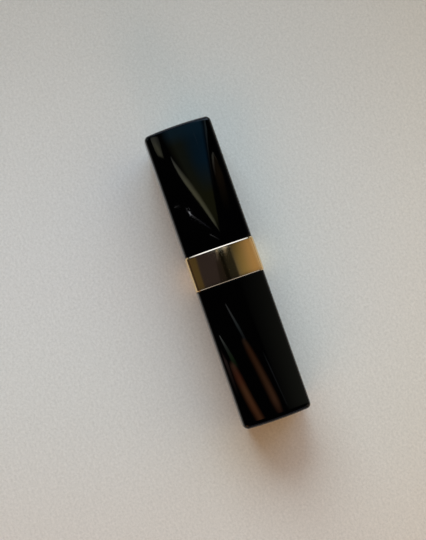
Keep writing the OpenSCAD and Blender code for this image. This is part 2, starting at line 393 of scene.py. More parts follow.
def make_cup():
    """Gold cup with a rounded foot and a rolled rim."""
    wall = 0.4 * MM
    floor_t = 0.8 * MM
    foot_r = 0.2 * MM
    rim_r = wall / 2
    lo, hi = cup_lo.x, cup_hi.x
    profile = [(lo, CUP_R - 1.5 * foot_r)]
    profile += [(lo + back, CUP_R - inset) for inset, back in quarter_round(foot_r, 90, 0, 5)]
    profile += [(lo + foot_r + (hi - rim_r - lo - foot_r) * i / 6, CUP_R) for i in range(1, 6)]
    profile += [(hi - rim_r + rim_r * math.sin(a), CUP_R - rim_r + rim_r * math.cos(a))
                for a in arc(0, 180, 12)]
    profile += [(lo + floor_t + foot_r, CUP_R - wall), (lo + floor_t, CUP_R - wall - foot_r)]
    return turned("cup_gold", profile, lo, lo + floor_t)


def add_lugs(cup):
    """Two round lugs through the cup's wall, along Z, each with a chamfered end."""
    lug_r = 0.75 * MM
    lug_x = cup_lo.x + 1.2 * MM
    root = CUP_R - 0.2 * MM
    reach = (cup_hi.z - cup_lo.z) / 2
    edge = 0.15 * MM
    steps = 40
    bm = opened(cup)
    for side in (-1, 1):
        rows = []
        for height, radius in ((root, lug_r), (reach - edge, lug_r), (reach - 0.3 * edge, lug_r - 0.3 * edge),
                               (reach, lug_r - edge)):
            rows.append([bm.verts.new((lug_x + radius * math.cos(a), radius * math.sin(a),
                                       AXIS_Z + side * height)) for a in arc(0, 360, steps)[:-1]])
        add_skin(bm, rows)
        bm.faces.new(rows[-1])
        bm.faces.new(rows[0])
    write_mesh(bm, cup, {face for face in bm.faces if len(face.verts) != 4})


def make_bullet():
    """Wax bullet: turned, cut on a slant from its tip, with the edge of the cut slightly melted."""
    foot = 0.1 * MM
    nose_len = 14.5 * MM
    nose_x = bullet_hi.x - 13 * MM
    tip = Vector((bullet_hi.x, 0, AXIS_Z + 2.2 * MM))
    slant = math.radians(43)
    melted = 0.22 * MM
    profile = [(bullet_lo.x, BULLET_R - foot), (bullet_lo.x + foot, BULLET_R)]
    profile += [(bullet_lo.x + (nose_x - bullet_lo.x) * i / 10, BULLET_R) for i in range(1, 11)]
    profile += [(nose_x + nose_len * math.sin(a), BULLET_R * math.cos(a)) for a in arc(0, 90, 40)[1:-1]]
    bullet = turned("bullet_wax", profile, bullet_lo.x, nose_x + nose_len)
    bm = opened(bullet)
    cut = bmesh.ops.bisect_plane(bm, geom=bm.verts[:] + bm.edges[:] + bm.faces[:], dist=1e-7, plane_co=tip,
                                 plane_no=Vector((math.cos(slant), 0, -math.sin(slant))), clear_outer=True)
    rim = [part for part in cut["geom_cut"] if isinstance(part, bmesh.types.BMEdge)]
    bmesh.ops.contextual_create(bm, geom=rim)
    bmesh.ops.bevel(bm, geom=rim, offset=melted, segments=4, profile=0.5, affect="EDGES")
    write_mesh(bm, bullet)
    return bullet


def make_label():
    """Paper disc in the recess under the base."""
    edge = 0.03 * MM
    profile = [(label_lo.x, LABEL_R * k) for k in (0.3, 0.6, 0.9)]
    profile += [(label_lo.x, LABEL_R - edge), (label_lo.x + edge, LABEL_R), (label_hi.x, LABEL_R)]
    return turned("base_label_paper", profile, label_lo.x, label_hi.x)


def make_liner():
    """Plastic lining of the cap, with rounded inner edges."""
    outer = CASE_HALF - LINER_HALF
    corner_r = 0.5 * MM
    edge_r = 0.2 * MM
    lo, hi = liner_lo.x, liner_hi.x

    def liner_points(inset):
        return crowned_square(CASE_HALF - inset, FACE_R - inset, corner_r)

    rings = [at_x(liner_points(outer), lo + (hi - lo) * i / 8) for i in range(9)]
    rings += [at_x(liner_points(outer + LINER_T - inset), hi - back)
              for inset, back in quarter_round(edge_r, 90, 0, 4)]
    rings += [at_x(liner_points(outer + LINER_T), hi - (hi - lo) * i / 8) for i in range(1, 8)]
    rings += [at_x(liner_points(outer + LINER_T - inset), lo + back)
              for inset, back in quarter_round(edge_r, 0, 90, 4)]
    return piece_from_rings("cap_liner_moulded", rings)


def add_ribs(liner):
    """Eight shallow round-topped ribs inside the liner, in pairs on each face, with a foot in its wall."""
    rib_y = 3 * MM
    rib_w = 0.5 * MM
    rib_h = 0.08 * MM
    foot = 0.04 * MM
    ramp_len = 0.4 * MM
    x_from = liner_lo.x + 1 * MM
    x_to = x_from + 11 * MM
    wall_z = LINER_HALF - LINER_T - rib_y * rib_y / (2 * FACE_R)
    heights = ((x_from, 0.2), (x_from + ramp_len, 1.0), (x_to - ramp_len, 1.0), (x_to, 0.2))
    bm = opened(liner)
    flat = set()
    for turn in range(4):
        rotation = Matrix.Rotation(turn * math.pi / 2, 3, "X")
        for y in (-rib_y, rib_y):
            rows = []
            for x, lift in heights:
                row = []
                for a in arc(0, 180, 8):
                    z = wall_z + foot - (rib_h + foot) * lift * math.sin(a)
                    spot = rotation @ Vector((x, y + rib_w / 2 * math.cos(a), z))
                    row.append(bm.verts.new(spot + Vector((0, 0, AXIS_Z))))
                rows.append(row)
            count = len(rows[0])
            feet = add_skin(bm, rows)[count - 1::count]
            flat.update([bm.faces.new(rows[0]), bm.faces.new(rows[-1])], feet)
    write_mesh(bm, liner, flat)


# ---------------------------------------------------------------- materials

def blank_material(name):
    """A material and its empty node tree."""
    material = bpy.data.materials.new(name)
    material.use_nodes = True
    material.node_tree.nodes.clear()
    return material, material.node_tree


def set_inputs(node, inputs):
    """Sets or links a node's inputs by name or number."""
    for key, value in inputs.items():
        socket = node.inputs[key]
        if isinstance(value, bpy.types.NodeSocket):
            node.id_data.links.new(value, socket)
        elif socket.type == "RGBA":
            socket.default_value = (*value, 1.0)
        else:
            socket.default_value = value


def new_node(kind, inputs, **settings):
    """A node with these inputs and settings, in the tree that its linked inputs come from."""
    tree = next(value.id_data for value in inputs.values() if isinstance(value, bpy.types.NodeSocket))
    node = tree.nodes.new("ShaderNode" + kind)
    for name, value in settings.items():
        setattr(node, name, value)
    set_inputs(node, inputs)
    return node


def new_material(name):
    """A material with a Principled shader, that shader, and the object coordinates."""
    material, tree = blank_material(name)
    shader = tree.nodes.new("ShaderNodeBsdfPrincipled")
    new_node("OutputMaterial", {"Surface": shader.outputs["BSDF"]})
    return material, shader, tree.nodes.new("ShaderNodeTexCoord").outputs["Object"]


def noise(place, scale, detail=2.0, roughness=0.5, distortion=0.0):
    return new_node("TexNoise", {"Vector": place, "Scale": scale, "Detail": detail, "Roughness": roughness,
                                 "Distortion": distortion}).outputs["Fac"]


def stretched(place, scale, rotation=(0, 0, 0)):
    return new_node("Mapping", {"Vector": place, "Scale": scale, "Rotation": rotation}).outputs["Vector"]


def remap(value, from_low, from_high, to_low, to_high, interpolation="LINEAR"):
    return new_node("MapRange", {"Value": value, "From Min": from_low, "From Max": from_high,
                                 "To Min": to_low, "To Max": to_high},
                    interpolation_type=interpolation).outputs["Result"]


def maths(operation, a, b):
    return new_node("Math", {0: a, 1: b}, operation=operation).outputs["Value"]


def vector_maths(operation, a, b=(0, 0, 0)):
    node = new_node("VectorMath", {0: a, 1: b}, operation=operation)
    return node.outputs["Value" if operation in ("DOT_PRODUCT", "LENGTH") else "Vector"]


def mixed(share, colour_a, colour_b, blend="MIX"):
    return new_node("MixRGB", {"Fac": share, "Color1": colour_a, "Color2": colour_b},
                    blend_type=blend).outputs["Color"]


def bump(height, distance, under=None):
    """A bump of the given height in metres, on top of another one."""
    inputs = {"Height": height, "Distance": distance, "Strength": 1.0}
    if under is not None:
        inputs["Normal"] = under
    return new_node("Bump", inputs).outputs["Normal"]


def hairlines(place, rotations, fine=2600, rare=0.70):
    """Sparse fine scratches: noise stretched along a few directions, cut at its highest values."""
    lines = 0.0
    for rotation in rotations:
        along_line = stretched(place, (0.035, 1.0, 1.0), rotation)
        turned_place = stretched(place, (1, 1, 1), rotation)
        line = remap(noise(along_line, fine, 1.0), rare, rare + 0.06, 0.0, 1.0)
        patch = remap(noise(turned_place, 160, 1.0), 0.5, 0.66, 0.0, 1.0)
        lines = maths("MAXIMUM", maths("MULTIPLY", line, patch), lines)
    return lines


def dust(place, scale, size, rare):
    """Tiny specks, each in its own cell, in a few of the cells."""
    cells = new_node("TexVoronoi", {"Vector": place, "Scale": scale})
    near = remap(cells.outputs["Distance"], size * 0.5, size, 1.0, 0.0)
    red = new_node("SeparateColor", {"Color": cells.outputs["Color"]}).outputs["Red"]
    return maths("MULTIPLY", near, maths("GREATER_THAN", red, rare))


def lacquer_material():
    """Black piano lacquer with faint orange peel, hairlines, wiped smudges and a little dust."""
    material, shader, place = new_material("black_lacquer")
    turns = [(0.0, 0.0, 0.35), (0.5, 0.3, -0.5), (0.2, -0.4, 1.35)]
    lines = hairlines(place, turns, 2600, 0.80)
    specks = dust(place, 620, 0.07, 0.985)
    smudge = noise(stretched(place, (0.6, 1, 1)), 150, 3.0, 0.55, 0.6)
    wiped = remap(smudge, 0.45, 0.8, 0.02, 0.055)
    rough = maths("MAXIMUM", wiped, maths("MULTIPLY", lines, 0.22))
    rough = maths("MAXIMUM", rough, maths("MULTIPLY", specks, 0.7))
    tint = mixed(noise(place, 60, 2.0), (0.0003, 0.0003, 0.0004), (0.0006, 0.0006, 0.0006))
    colour = mixed(maths("MULTIPLY", specks, 0.5), tint, (0.22, 0.21, 0.2))
    colour = mixed(maths("MULTIPLY", lines, 0.02), colour, (0.5, 0.5, 0.5))
    peel = bump(noise(place, 420, 2.0), 0.0012 * MM)
    scored = bump(lines, -0.0008 * MM, peel)
    set_inputs(shader, {"Base Color": colour, "Roughness": rough, "Normal": scored})
    shader.inputs["IOR"].default_value = 1.5
    return material


def gold_material(name, across, roughness):
    """Anodised gold: polished, with very fine lines across it and a few hairlines."""
    material, shader, place = new_material(name)
    grain = noise(stretched(place, across), 2400, 2.0)
    lines = hairlines(place, [(0.3, 0.2, 0.8), (0.1, 0.5, -0.9)], 3000, 0.72)
    cloud = noise(place, 170, 3.0)
    tint = mixed(cloud, (0.86, 0.62, 0.33), (0.90, 0.68, 0.40))
    worn = mixed(maths("MULTIPLY", lines, 0.35), tint, (0.93, 0.80, 0.60))
    uneven = maths("ADD", maths("MULTIPLY", grain, 0.5), maths("MULTIPLY", cloud, 0.5))
    rough = remap(uneven, 0.3, 0.75, roughness * 0.75, roughness * 1.3)
    rough = maths("MAXIMUM", rough, maths("MULTIPLY", lines, 0.3))
    brushed = bump(grain, 0.0005 * MM)
    wavy = bump(noise(place, 260, 1.0), 0.003 * MM, brushed)
    set_inputs(shader, {"Base Color": worn, "Roughness": rough, "Normal": wavy})
    shader.inputs["Metallic"].default_value = 1.0
    return material


def moulding_material(name, dark, light, roughness):
    """Moulded plastic with a fine spark-eroded texture and slight flow marks."""
    material, shader, place = new_material(name)
    spark = noise(place, 5200, 3.0, 0.6)
    flow = noise(stretched(place, (0.25, 1, 1)), 320, 3.0, 0.5, 0.8)
    set_inputs(shader, {
        "Base Color": mixed(flow, dark, light),
        "Roughness": remap(spark, 0.3, 0.7, roughness - 0.08, roughness + 0.1),
        "Normal": bump(flow, 0.004 * MM, bump(spark, 0.004 * MM)),
    })
    return material


def wax_material():
    """Lip wax: soft light in it, a faint bloom, and fine drag marks along the moulded sides."""
    material, shader, place = new_material("lip_wax")
    drag = noise(stretched(place, (0.08, 1, 1)), 1500, 3.0)
    cloud = noise(place, 260, 4.0, 0.6)
    pits = dust(place, 900, 0.12, 0.9)
    bloom = remap(cloud, 0.5, 0.8, 0.0, 0.35)
    deep = mixed(cloud, (0.40, 0.030, 0.055), (0.47, 0.045, 0.075))
    colour = mixed(bloom, deep, (0.56, 0.12, 0.14))
    height = maths("SUBTRACT", maths("MULTIPLY", drag, 0.6), maths("MULTIPLY", pits, 0.8))
    set_inputs(shader, {
        "Base Color": colour,
        "Roughness": remap(maths("ADD", drag, bloom), 0.35, 1.0, 0.26, 0.5),
        "Normal": bump(height, 0.006 * MM),
    })
    shader.inputs["Subsurface Weight"].default_value = 0.25
    shader.inputs["Subsurface Radius"].default_value = (1.0, 0.35, 0.25)
    shader.inputs["Subsurface Scale"].default_value = 0.8 * MM
    return material


def paper_material():
    """Coated paper disc with fibres, and a plain printed ring in the bullet's colour."""
    material, shader, place = new_material("label_paper")
    fibre = noise(stretched(place, (1, 1, 0.2)), 3200, 4.0, 0.65, 1.5)
    radius = vector_maths("LENGTH", vector_maths("SUBTRACT", place, (label_lo.x, 0, AXIS_Z)))
    ring_out = maths("LESS_THAN", radius, 0.84 * LABEL_R)
    ring_in = maths("GREATER_THAN", radius, 0.72 * LABEL_R)
    ring = maths("MULTIPLY", ring_out, ring_in)
    sheet = mixed(fibre, (0.72, 0.66, 0.54), (0.82, 0.77, 0.66))
    ink = mixed(fibre, (0.38, 0.05, 0.07), (0.46, 0.07, 0.09))
    set_inputs(shader, {
        "Base Color": mixed(ring, sheet, ink),
        "Roughness": remap(fibre, 0.3, 0.7, 0.5, 0.72),
        "Normal": bump(fibre, 0.008 * MM),
    })
    return material


def steel_material():
    """Turned steel slug: fine rings from the tool, a little tumbled."""
    material, shader, place = new_material("weight_steel")
    rings = noise(stretched(place, (1.0, 0.02, 0.02)), 4200, 2.0)
    cloud = noise(place, 420, 4.0)
    set_inputs(shader, {
        "Base Color": mixed(cloud, (0.42, 0.42, 0.43), (0.58, 0.58, 0.58)),
        "Roughness": remap(cloud, 0.3, 0.7, 0.26, 0.42),
        "Normal": bump(rings, 0.004 * MM),
    })
    shader.inputs["Metallic"].default_value = 1.0
    return material


def silicone_material():
    """Silicone ring with a satin skin."""
    material, shader, place = new_material("ring_silicone")
    skin = noise(place, 3800, 3.0)
    set_inputs(shader, {
        "Base Color": mixed(skin, (0.05, 0.05, 0.052), (0.09, 0.09, 0.09)),
        "Roughness": remap(skin, 0.3, 0.7, 0.42, 0.6),
        "Normal": bump(skin, 0.006 * MM),
    })
    return material


def ramp(share, colours):
    """A colour that runs smoothly through evenly spaced colours as share goes from 0 to 1."""
    node = new_node("ValToRGB", {"Fac": share})
    node.color_ramp.interpolation = "B_SPLINE"
    stops = node.color_ramp.elements
    while len(stops) < len(colours):
        stops.new(0.5)
    for i, colour in enumerate(colours):
        stops[i].position = i / (len(colours) - 1)
        stops[i].color = (*colour, 1.0)
    return node.outputs["Color"]


def across_table(place, direction):
    """0 to 1 over 160 mm of the table along a direction, centred on the stick."""
    return remap(vector_maths("DOT_PRODUCT", place, direction), -80 * MM, 80 * MM, 0.0, 1.0)


def table_material():
    """Pale laminate with a fine pebbled texture, and painted shading: a slow drift of brightness and tint
    over the table that stands in for uneven light.
    """
    material, shader, place = new_material("table_top")
    pebble = noise(place, 1500, 3.0, 0.62, 0.3)
    pebble_share = remap(pebble, 0.3, 0.7, 0.0, 1.0)
    broad_share = remap(noise(place, 30, 3.0, 0.6), 0.3, 0.7, 0.0, 0.15)
    tone = mixed(pebble_share, (0.545, 0.545, 0.535), (0.665, 0.665, 0.655))
    cloudy = mixed(broad_share, tone, (0.66, 0.655, 0.64))
    # Painted shading: two ramps over the table darken and tint its colour, standing in for light that falls
    # unevenly on it.
    painted_falloff_up = ramp(across_table(place, -UP_WAY),
                         [(0.78, 0.75, 0.71), (0.93, 0.92, 0.905), (1.0, 1.0, 1.0), (1.03, 1.0, 0.98),
                          (1.02, 0.92, 0.86)])
    painted_falloff_right = ramp(across_table(place, RIGHT_WAY),
                          [(1.0, 1.02, 1.03), (1.0, 1.01, 1.02), (1.0, 1.0, 1.0), (1.0, 0.975, 0.945),
                           (1.0, 0.92, 0.81)])
    painted_light_falloff = mixed(1.0, painted_falloff_up, painted_falloff_right, "MULTIPLY")
    set_inputs(shader, {
        "Base Color": mixed(1.0, cloudy, painted_light_falloff, "MULTIPLY"),
        "Roughness": remap(pebble, 0.3, 0.7, 0.5, 0.62),
        "Normal": bump(pebble, 0.06 * MM),
    })
    return material


# ---------------------------------------------------------------- stage

# Places in the picture are measured along the stick from here, 2.85 mm short of the band's cap end
PICTURE_X = band_hi.x - 2.85 * MM
CAMERA_TARGET = Vector((PICTURE_X - 1.7 * MM, -3.1 * MM, AXIS_Z))
CAMERA_DISTANCE = 219.1 * MM
CAMERA_TILT = math.radians(3.53)
CAMERA_TILT_TOWARDS = math.radians(-14.5)
CAMERA_LENS = 55.3
# The picture's up and right on the table
PICTURE_UP = math.radians(160.8)
UP_WAY = Vector((math.cos(PICTURE_UP), math.sin(PICTURE_UP), 0))
RIGHT_WAY = Vector((math.sin(PICTURE_UP), -math.cos(PICTURE_UP), 0))
CAMERA_BACK = Vector((math.sin(CAMERA_TILT) * math.cos(CAMERA_TILT_TOWARDS),
                      math.sin(CAMERA_TILT) * math.sin(CAMERA_TILT_TOWARDS),
                      math.cos(CAMERA_TILT)))
CAMERA_PLACE = CAMERA_TARGET + CAMERA_BACK * CAMERA_DISTANCE


def add_camera():
    """Camera nearly above the stick, leaning a little, with the stick slanting across the picture."""
    right = UP_WAY.cross(CAMERA_BACK).normalized()
    up = CAMERA_BACK.cross(right)
    data = bpy.data.cameras.new("camera")
    data.lens = CAMERA_LENS
    data.clip_start = 0.01
    camera = bpy.data.objects.new("camera", data)
    scene.collection.objects.link(camera)
    turn = Matrix((right, up, CAMERA_BACK)).transposed().to_4x4()
    camera.matrix_world = Matrix.Translation(CAMERA_PLACE) @ turn
    scene.camera = camera


def add_floor(material):
    """The table, wide enough to fill every view."""
    size = 4.0
    bm = bmesh.new()
    bmesh.ops.create_grid(bm, x_segments=8, y_segments=8, size=size / 2)
    mesh = bpy.data.meshes.new("table_top")
    bm.to_mesh(mesh)
    bm.free()
    mesh.materials.append(material)
    floor = bpy.data.objects.new("table_top", mesh)
    scene.collection.objects.link(floor)


def new_light(name, shape, size, colour, power, place):
    """An area light that reflections don't see."""
    data = bpy.data.lights.new(name, "AREA")
    data.shape = shape
    data.size = size
    data.color = colour
    data.energy = power
    light = bpy.data.objects.new(name, data)
    light.location = place
    light.visible_glossy = False
    scene.collection.objects.link(light)
    return light


def direction_to(azimuth, elevation):
    """The direction at an azimuth, from +X towards +Y, and an elevation, in degrees."""
    a = math.radians(azimuth)
    e = math.radians(elevation)
    return Vector((math.cos(e) * math.cos(a), math.cos(e) * math.sin(a), math.sin(e)))


def add_light(name, azimuth, elevation, distance, size, colour, power):
    """A soft round light aimed at the stick."""
    way = direction_to(azimuth, elevation)
    light = new_light(name, "DISK", size, colour, power, way * distance)
    light.rotation_mode = "QUATERNION"
    light.rotation_quaternion = way.to_track_quat("Z", "Y")


def add_band_glow(name, side, colour, power):
    """The light that a polished side of the band throws on the table beside it."""
    out = 0.4 * MM
    height = 2.8 * MM
    place = ((band_lo.x + band_hi.x) / 2, side * (BAND_HALF + out), height)
    light = new_light(name, "RECTANGLE", 0.8 * (band_hi.x - band_lo.x), colour, power, place)
    light.data.size_y = 3 * MM
    light.rotation_euler = (side * math.radians(60), 0, 0)
    light.visible_camera = False


def add_world():
    """A dim room with a darker ceiling and four soft windows, seen in the sides of the stick."""
    world = bpy.data.worlds.new("room")
    scene.world = world
    world.use_nodes = True
    tree = world.node_tree
    place = tree.nodes.new("ShaderNodeTexCoord").outputs["Generated"]

    def near_to(direction, inner, outer):
        """1 within inner degrees of a direction, falling to 0 at outer degrees."""
        near = vector_maths("DOT_PRODUCT", place, direction.normalized())
        low = math.cos(math.radians(outer))
        high = math.cos(math.radians(inner))
        return remap(near, low, high, 0.0, 1.0, "SMOOTHSTEP")

    base_end = near_to(Vector((-1.0, 0.2, 0.0)), 20, 130)
    walls = mixed(base_end, (0.075, 0.060, 0.048), (0.045, 0.060, 0.070))
    ceiling = near_to(Vector((0.0, -0.16, 1.0)), 40, 72)
    room = mixed(ceiling, walls, (0.0015, 0.0015, 0.0015))
    windows = ((140, 32, (0.95, 1.25, 1.6)), (-135, 28, (0.30, 0.36, 0.42)),
               (-42, 30, (0.80, 0.42, 0.20)), (42, 26, (0.45, 0.38, 0.30)))
    for azimuth, elevation, colour in windows:
        room = mixed(near_to(direction_to(azimuth, elevation), 12, 25), room, colour)
    set_inputs(tree.nodes["Background"], {"Color": room, "Strength": 1.0})


# ---------------------------------------------------------------- cards seen as reflections

CARD_Z = CAMERA_PLACE.z
CARD_STEP = 0.5 * MM
SHEET_DISTANCE = 2.0
DARK = (0.0, 0.0, 0.0)


def top_place(x, y, half):
    """A point of the crowned top and its normal. Past the face's edge y runs on round the corner,
    and past the base end's rim x runs on round the rim."""
    face_r = FACE_R - CASE_HALF + half
    corner_r = CORNER_R - CASE_HALF + half
    drop, centre, join = crown_layout(half, face_r, corner_r)
    side = 1 if y > 0 else -1
    past = abs(y) - face_r * math.sin(join)
    if past <= 0:
        tilt = math.asin(y / face_r)
        radius, middle = face_r, Vector((x, 0, AXIS_Z - drop))
    else:
        tilt = side * (join + past / corner_r)
        radius, middle = corner_r, Vector((x, side * centre, AXIS_Z + centre))
    normal = Vector((0, math.sin(tilt), math.cos(tilt)))
    spot = middle + normal * radius
    rim_x = base_lo.x + END_R + (y * y + half * half) / (2 * DOME_R)
    if x < rim_x:
        lean = math.asin((rim_x - x) / END_R)
        spot.z -= END_R * (1 - math.cos(lean))
        normal = Vector((-math.sin(lean), normal.y * math.cos(lean), normal.z * math.cos(lean)))
    return spot, normal


def mirrored(x, y, half, lift):
    """Where the camera's ray goes on a level plane after it meets the crowned top at x, y."""
    spot, normal = top_place(PICTURE_X + x, y, half)
    ray = (spot - CAMERA_PLACE).normalized()
    out = ray - 2 * ray.dot(normal) * normal
    return spot + out * ((CARD_Z + lift - spot.z) / out.z)


def card_material():
    """A card that only adds its own glow to what lies behind it."""
    material, tree = blank_material("card")
    material.cycles.emission_sampling = "NONE"
    colours = tree.nodes.new("ShaderNodeAttribute")
    colours.attribute_name = "glow"
    clear = tree.nodes.new("ShaderNodeBsdfTransparent")
    glow = new_node("Emission", {"Color": colours.outputs["Color"]})
    both = new_node("AddShader", {0: glow.outputs["Emission"], 1: clear.outputs["BSDF"]})
    new_node("OutputMaterial", {"Surface": both.outputs["Shader"]})
    return material


def add_sheet(name, material, rows):
    """A glowing sheet seen only in glossy reflections. rows hold (place, colour)."""
    mesh = bpy.data.meshes.new("card_" + name)
    spots = [spot for row in rows for spot in row]
    wide = len(rows[0])
    faces = []
    for j in range(len(rows) - 1):
        for i in range(wide - 1):
            a = j * wide + i
            faces.append((a, a + 1, a + wide + 1, a + wide))
    mesh.from_pydata([place for place, colour in spots], [], faces)
    glow = mesh.color_attributes.new("glow", "FLOAT_COLOR", "POINT")
    for i, (place, colour) in enumerate(spots):
        glow.data[i].color = (*colour, 1.0)
    mesh.materials.append(material)
    card = bpy.data.objects.new("card_" + name, mesh)
    scene.collection.objects.link(card)
    for ray in ("camera", "diffuse", "transmission", "volume_scatter", "shadow"):
        setattr(card, "visible_" + ray, False)


def add_card(name, material, rows, half=CASE_HALF):
    """A card over the stick, a step above the last one. rows hold (x, y, colour) on the top face, in mm."""
    lift = CARD_STEP * len([thing for thing in scene.objects if thing.name.startswith("card_")])
    add_sheet(name, material, [[(mirrored(x * MM, y * MM, half, lift), colour) for x, y, colour in row]
                               for row in rows])


def scaled(colour, factor):
    return tuple(c * factor for c in colour)


def upright(direction, offsets, elevations):
    """Rows of a far sheet that stands up. offsets give (along it, share), elevations (degrees, colour)."""
    side = Vector((-direction.y, direction.x, 0))
    rows = []
    for elevation, colour in elevations:
        height = SHEET_DISTANCE * math.tan(math.radians(elevation))
        foot = direction * SHEET_DISTANCE + Vector((0, 0, height))
        rows.append([(foot + side * offset, scaled(colour, share)) for offset, share in offsets])
    return rows


def reflected_x(x):
    """Where along the stick a far sheet at one side is seen from x millimetres in its long corner."""
    spot = PICTURE_X + x * MM
    return spot + (spot - CAMERA_PLACE.x) * SHEET_DISTANCE / (CAMERA_PLACE.z - TOP_Z)


def add_low_sheets(glow):
    """Low sheets far off: at both ends for the band's bevels, and at one side for the band's long corner."""
    window = (1.3, 1.66, 2.7)
    wall = (0.46, 0.55, 0.80)
    side = (0.29, 0.235, 0.14)
    window_offsets = [(-0.60, 0.1), (-0.45, 0.7), (-0.30, 1.0), (0.20, 1.0), (0.34, 0.3), (0.60, 0.05)]
    wall_offsets = [(-0.60, 0.9), (-0.2, 0.8), (0.0, 0.6), (0.2, 1.0), (0.60, 1.1)]
    side_offsets = [(-reflected_x(2.8), 1.0), (-reflected_x(-6.2), 1.0)]
    add_sheet("low_window", glow, upright(Vector((-1, 0, 0)), window_offsets,
                                          [(12.0, DARK), (12.8, window), (17.6, window), (18.4, DARK)]))
    add_sheet("low_wall", glow, upright(Vector((1, 0, 0)), wall_offsets,
                                        [(19.2, DARK), (20.0, wall), (24.8, wall), (25.6, DARK)]))
    add_sheet("side_wall", glow, upright(Vector((0, 1, 0)), side_offsets, [(0, side), (24, side)]))


def mix_values(a, b, share):
    return tuple(p + (q - p) * share for p, q in zip(a, b))


def along(stops, share):
    """The values at share between stops, each of which starts with its own share."""
    for (low, *a), (high, *b) in zip(stops, stops[1:]):
        if share <= high:
            return mix_values(a, b, (share - low) / (high - low))
    return tuple(stops[-1][1:])


def curve(points, share):
    """A point on a Bezier curve with four control points."""
    while len(points) > 1:
        points = [mix_values(a, b, share) for a, b in zip(points, points[1:])]
    return points[0]


SOFT = ((-1.0, 0.0), (-0.7, 0.2), (-0.35, 0.65), (0.0, 1.0), (0.3, 0.95), (0.65, 0.4), (1.0, 0.0))
EVEN = ((-1.0, 0.0), (-0.6, 0.8), (0.0, 1.0), (0.6, 0.8), (1.0, 0.0))
SHARP_BELOW = ((-1.0, 0.0), (-0.75, 0.9), (-0.3, 1.0), (0.3, 0.6), (1.0, 0.0))


def ribbon(spine, stops, across=EVEN, steps=24):
    """Rows of a strip along a Bezier curve. stops give (share, half width, red, green, blue)."""
    rows = []
    for i in range(steps + 1):
        share = i / steps
        x, y = curve(spine, share)
        x2, y2 = curve(spine, min(share + 0.01, 1.0))
        x1, y1 = curve(spine, max(share - 0.01, 0.0))
        length = math.hypot(x2 - x1, y2 - y1)
        half_width, *colour = along(stops, share)
        side_x = -(y2 - y1) / length * half_width
        side_y = (x2 - x1) / length * half_width
        rows.append([(x + side_x * k, y + side_y * k, scaled(colour, level)) for k, level in across])
    return rows


def add_ribbon(name, glow, spine, stops, across=EVEN, half=CASE_HALF):
    """A card in the form of a ribbon, with its spine and stops in millimetres on the top face."""
    add_card(name, glow, ribbon(spine, stops, across), half)


def field(x_from, x_to, low, high, colour_at, steps=20):
    """Rows that fill the space between two Bezier edges in y, coloured by (share along, share across)."""
    rows = []
    for i in range(steps + 1):
        t = i / steps
        x = x_from + (x_to - x_from) * t
        y_low = curve(low, t)[0]
        y_high = curve(high, t)[0]
        shares = [j / steps for j in range(steps + 1)]
        rows.append([(x, y_low + (y_high - y_low) * s, colour_at(t, s)) for s in shares])
    return rows


